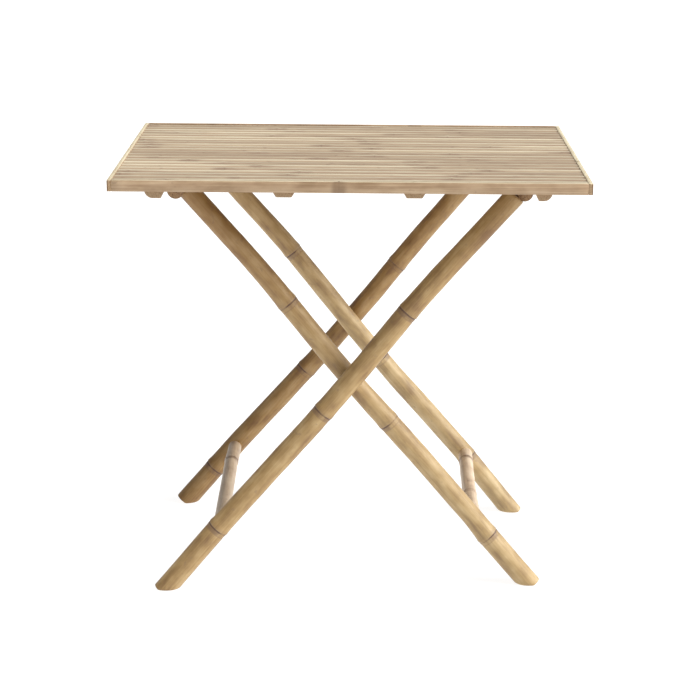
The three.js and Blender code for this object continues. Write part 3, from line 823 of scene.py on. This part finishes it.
def culm(name, radius, bottom, top, rings, seed, finish, swell, groove, line, edge=2.0 * MM):
    """A length of culm along Z. The rings are in millimetres from z = 0, and so is its line,
    which gives (up, aside, thicker) where the culm turns or its girth changes."""
    marks = [place * MM for place in rings]
    span = top - bottom
    stops = {bottom, top} | {bottom + span * k / CULM_STEPS for k in range(1, CULM_STEPS)}
    for fraction in (0.15, 0.45, 1.0, 1.8):
        stops |= {bottom + fraction * edge, top - fraction * edge}
    # The stops lie closest at a scar and at the fainter line below it.
    for place in marks:
        stops |= {place + step * MM for step in (
            -22, -16, -12, -10, -8.8, -8, -7.2, -6.2, -5, -3.5, -2.5, -1.6, -1, -0.5, 0,
            0.5, 1, 1.6, 2.5, 3.5, 5, 7, 10, 14, 20)}
    stops = sorted(s for s in stops if bottom <= s <= top)
    stops = [s for k, s in enumerate(stops)
             if k == 0 or s - stops[k - 1] > 0.15 * MM or s == top]

    chain = bpy.data.meshes.new(name + "_line")
    places, widths = [], []
    for stop in stops:
        aside, thicker = grows(line, stop / MM)
        width = radius + thicker * MM
        width += sum(ring_profile(stop - place, swell, groove) for place in marks)
        near = min(stop - bottom, top - stop)
        if near < edge:
            width -= edge * (1 - math.sqrt(max(0.0, 1 - (1 - near / edge) ** 2)))
        places.append((aside * MM, 0, stop))
        widths.append(width)
    chain.from_pydata(places, [(k, k + 1) for k in range(len(places) - 1)], [])
    chain.attributes.new("thick", "FLOAT", "POINT").data.foreach_set("value", widths)
    mesh = grown(name, chain, culm_tree, {
        "Sides": CULM_SIDES, "Dent": CULM_DENT, "Dent Length": 0.05, "Seed": float(seed),
        "Finish": finish,
    })
    shell = bmesh.new()
    shell.from_mesh(mesh)
    bmesh.ops.recalc_face_normals(shell, faces=shell.faces)
    shell.to_mesh(mesh)
    shell.free()
    return mesh


def mark_culm(mesh, rings, tone, seed):
    """Marks a culm that still stands along Z. The rings are in millimetres from z = 0."""
    places = [place * MM for place in rings]
    mark(mesh, lambda p: Vector((p.z, p.x, p.y)), places, tone, start=seed * CULM_SHIFT)


def hollowed(mesh, bore, depth, end_finish):
    """Gives both sawn ends their own finish, and opens the hollow of the culm in them."""
    mesh.materials.append(end_finish)
    shell = bmesh.new()
    shell.from_mesh(mesh)
    caps = [face for face in shell.faces if len(face.verts) > 4]
    for cap in caps:
        cap.material_index = 1
        centre, inward = cap.calc_center_median(), -cap.normal
        for share, sink in [(bore, 0.0), (bore * 0.93, 0.4 * MM), (bore * 0.85, depth)]:
            copied = bmesh.ops.inset_individual(shell, faces=[cap], thickness=0.0)
            for face in copied["faces"]:
                face.material_index = 1
            for vertex in cap.verts:
                away = vertex.co - centre
                away -= inward * away.dot(inward)
                vertex.co = centre + away.normalized() * share + inward * sink
    shell.to_mesh(mesh)
    shell.free()


# Whole culm: warm tan skin, yellower where it is paler and redder where it is darker, as in the
# painted shade at the legs' tops, with brown scar lines.
culm_finish = bamboo("lacquered_culm", "#b99b6e", "#a58453", "#86643b", "#84664a",
                     scar_reach=11 * MM, scar_share=0.3, mottle=0.62, roughness=0.58, spread=0.14,
                     tones=(0.58, 1.38), collar=True, hue_swing=0.013, line_share=0.95)
# Sawn culm: cream and dotted brown, round a dark hollow.
culm_end = end_grain("sawn_culm_end", "#d0b088", "#86613c")

# No culm is straight. Each leg's own line: (up, aside, thicker), in millimetres from the pivot.
LEG_LINES = {
    "outer_leg_front": [(-504, 1.2, 0.6), (-356, -0.6, 0.6), (-230, 0.9, 0.2), (-100, 3.1, 0.4),
                        (-30, 2.6, 0.3), (50, 1.3, 0.2), (150, -2.5, 0.0), (250, -2.3, -0.5),
                        (340, 0.7, -0.5), (428, 2.8, -0.2)],
    "outer_leg_back": [(-504, -2.4, 1.6), (-413, -2.3, 1.7), (-340, -1.6, 1.4), (-230, 1.8, 1.0),
                       (-100, 5.4, 0.7), (-30, 5.0, 0.3), (60, 4.2, 0.3), (135, 1.6, 0.3),
                       (210, -0.2, -0.4), (372, 0.2, -0.2), (428, 1.2, -0.3)],
    "inner_leg_front": [(-504, 1.2, 1.4), (-388, 0.4, 1.5), (-340, 1.6, 0.3), (-200, 1.1, 0.6),
                        (-111, -0.7, 1.0), (-30, -3.0, 0.2), (60, -2.2, 0.2), (160, 0.5, 0.3),
                        (215, 1.9, -0.3), (300, 1.1, -0.4), (350, -0.4, -0.5), (396, -1.8, -0.5),
                        (428, -2.1, -0.5)],
    "inner_leg_back": [(-504, -3.6, 0.8), (-430, -1.9, 1.0), (-350, 0.1, 0.9), (-260, -1.2, 0.9),
                       (-140, -4.6, 0.8), (-30, -3.8, 0.1), (90, 0.2, 0.1), (200, 2.4, -0.3),
                       (290, -0.5, -0.6), (335, -2.2, -0.6), (428, -2.4, -0.5)],
}

# How pale each leg is along it, from 0 to 1: (up, tone). The legs differ in their own tone.
# Where a leg's tone falls towards its top, under the tabletop, that fall is painted shade.
LEG_TONES_AND_PAINTED_SHADE = {
    "outer_leg_front": [(-504, 0.48), (-100, 0.52), (200, 0.5), (380, 0.3)],
    "outer_leg_back": [(-504, 0.2), (-150, 0.3), (428, 0.28)],
    "inner_leg_front": [(-504, 0.66), (-50, 0.62), (160, 0.45), (330, 0.12)],
    "inner_leg_back": [(-504, 0.75), (0, 0.72), (300, 0.45)],
}

LEG_EDGE = 3.0 * MM
FOOT_REACH = 90 * MM    # how far up the slanted foot cut draws the skin with it
TOE_LEFT = 0.12         # the share of the sharp toe that is left on

# Radii, rings and how far up the toe is filed (blunt) are in millimetres.
for label, body, side, y, radius, rings, blunt, seed in [
    ("outer_leg_front", "outer_frame", 1, -0.226, 18.0, [-356, -72.5, 158], 8, 11),
    ("outer_leg_back", "outer_frame", 1, 0.226, 18.0, [-413, -141, 135, 372], 14, 12),
    ("inner_leg_front", "inner_frame", -1, -0.188, 17.6, [-388, -111, 165.6], 9, 13),
    ("inner_leg_back", "inner_frame", -1, 0.188, 17.6, [-360, -96, 174, 404], 9, 14),
]:
    leg = culm(label, radius * MM, FOOT, LEG_TOP, rings, seed, culm_finish,
               swell=0.9 * MM, groove=0.7 * MM, line=LEG_LINES[label], edge=LEG_EDGE)
    hollowed(leg, bore=6.5 * MM, depth=14 * MM, end_finish=culm_end)
    # The saw cut at the foot is level, so it crosses the leaning culm at a slant. The sharp toe
    # that this leaves is filed back.
    slope = side * math.tan(LEAN)
    toe = FOOT - math.tan(LEAN) * radius * MM + blunt * MM
    for vertex in leg.vertices:
        share = max(0.0, 1 - (vertex.co.z - FOOT) / FOOT_REACH)
        vertex.co.z += slope * vertex.co.x * min(1.0, share)
        vertex.co.z = max(vertex.co.z, toe - (toe - vertex.co.z) * TOE_LEFT)
    mark_culm(leg, rings, 0.5, seed)
    # Each point's tone, with the painted shade towards the leg's top.
    tones = [grows(LEG_TONES_AND_PAINTED_SHADE[label], vertex.co.z / MM)[0] for vertex in leg.vertices]
    leg.attributes["tone"].data.foreach_set("value", tones)
    leg.transform(Matrix.Translation((0, y, PIVOT.z)) @ Matrix.Rotation(side * LEAN, 4, "Y"))
    leg.shade_smooth()
    leg.set_sharp_from_angle(angle=math.radians(40))
    placed(label + "_culm", leg, body, "culm_bamboo", label)


# ---- Top bars ----
# Thinner culms that lie across the legs' ends and carry the top, painted darker as shade
# under it. A screw goes down through each end of the bar, from a counterbore in its upper side.

BAR_RADIUS = 14.3 * MM    # between its rings, and 0.2 mm less than the CAD bar's

# Whole thin culm: an even brown, with a dull gloss. It is darker than the legs: painted shade
# for the shadow under the top.
bar_finish = bamboo("culm_darkened_as_painted_shade", "#94734b", "#7b5a36", "#5f4226", "#5c3f24",
                    scar_reach=9 * MM, scar_share=0.5, mottle=0.55, roughness=0.5)
# Its sawn end is darker than the legs' ends too: painted shade.
bar_end = end_grain("sawn_bar_end_in_painted_shade", "#9c7b57", "#60422a")


def laid_across(mesh, side, middle):
    """Lays a culm that was made along Z front to back, square to the legs that it joins."""
    lean = Matrix.Rotation(side * LEAN, 4, "Y")
    along = Matrix.Rotation(-math.pi / 2, 4, "X")
    mesh.transform(Matrix.Translation(middle) @ lean @ along)
    mesh.shade_smooth()
    mesh.set_sharp_from_angle(angle=math.radians(40))


for label, body, side, rings, seed in [
    ("outer_top_bar", "outer_frame", 1, [-92, 148], 21),
    ("inner_top_bar", "inner_frame", -1, [-150, 74], 22),
]:
    low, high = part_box(label)
    reach = (high.y - low.y) / 2
    bar = culm(label, BAR_RADIUS, -reach, reach, rings, seed, bar_finish,
               swell=0.7 * MM, groove=0.5 * MM, line=[(0, 0, 0)], edge=1.6 * MM)
    hollowed(bar, bore=2.6 * MM, depth=8 * MM, end_finish=bar_end)
    mark_culm(bar, rings, 0.5, seed)
    laid_across(bar, side, (low + high) / 2)
    placed(label + "_culm", bar, body, "bar_bamboo", label)


# ---- Stretchers ----
# Thin culms between the legs near the floor, which keep each frame square. Their ends are
# shaped to the round of the legs and tenoned in.

STRETCHER_RADIUS = 12.8 * MM
STRETCHER_UP = -345          # millimetres along the legs from the pivot
STRETCHER_ASIDE = 2.5 * MM   # off the legs' middle line
STRETCHER_DROP = 5 * MM      # how much lower the back end is let in than the front one
LET_IN = 4 * MM              # past the nearest side of the leg
COPE_LENGTH = 25 * MM        # how much of each end is drawn to the leg's round
COPE_OVERLAP = 0.6 * MM

# Thin culm: pale and pinkish, with brown streaks. Most of the paleness is a painted
# reflection of the bright white surroundings, seen along the culm at a grazing angle.
painted_sheen_finish = bamboo("culm_with_painted_sheen", "#dcc7ab", "#cdb495", "#ac8f71", "#8f6f52",
                        scar_reach=11 * MM, scar_share=0.35, mottle=0.5, roughness=0.55,
                        spread=0.14, tones=(0.6, 1.15), collar=True, line_share=0.8)

# The inner stretcher's high tone gives it the most painted reflection.
for label, body, side, leg_y, leg_radius, rings, line, tone, seed in [
    ("outer_stretcher", "outer_frame", 1, 0.226, 18.0 * MM, [108],
     [(-208, 0, 0), (108, -1.2, 0), (208, 0.3, 0)], 0.4, 31),
    ("inner_stretcher", "inner_frame", -1, 0.188, 17.6 * MM, [-66, 128],
     [(-170, 0, 0), (-66, -2.2, 0), (60, -1.6, 0.2), (170, 0, 0.4)], 1.0, 32),
]:
    low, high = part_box(label)
    end = leg_y - leg_radius + LET_IN
    rod = culm(label, STRETCHER_RADIUS, -end, end, rings, seed, painted_sheen_finish,
               swell=0.7 * MM, groove=0.5 * MM, line=line, edge=0.2 * MM)
    for vertex in rod.vertices:
        leg = label.split("_")[0] + ("_leg_back" if vertex.co.z > 0 else "_leg_front")
        leg_aside = grows(LEG_LINES[leg], STRETCHER_UP)[0] * MM
        across = vertex.co.x - side * STRETCHER_ASIDE - leg_aside
        leg_face = leg_y - math.sqrt(max(0.0, leg_radius ** 2 - across ** 2))
        share = max(0.0, 1 - (end - abs(vertex.co.z)) / COPE_LENGTH)
        vertex.co.y += STRETCHER_DROP * (0.5 + 0.5 * vertex.co.z / end)
        vertex.co.z += math.copysign((leg_face - end + COPE_OVERLAP) * share, vertex.co.z)
    mark_culm(rod, rings, tone, seed)
    laid_across(rod, side, (low + high) / 2)
    placed(label + "_culm", rod, body, "culm_bamboo", label)


# ---- Screws and pivots ----
# Zinc-plated steel: four screws hold the top bars, and a blind pin with a spacer on it joins
# each pair of legs where they cross.

# Bright zinc plate: pale grey, with a soft gloss.
zinc = steel("zinc_plated_steel", "#c3c5c6", "#9da0a2", 0.34)
for label in (
    "outer_bar_screw_front", "outer_bar_screw_back", "inner_bar_screw_front",
    "inner_bar_screw_back", "pivot_pin_front", "pivot_pin_back", "pivot_spacer_front",
    "pivot_spacer_back",
):
    fixing = frame["nodes"][label]
    fixing.data.materials.clear()
    fixing.data.materials.append(zinc)


low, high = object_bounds()
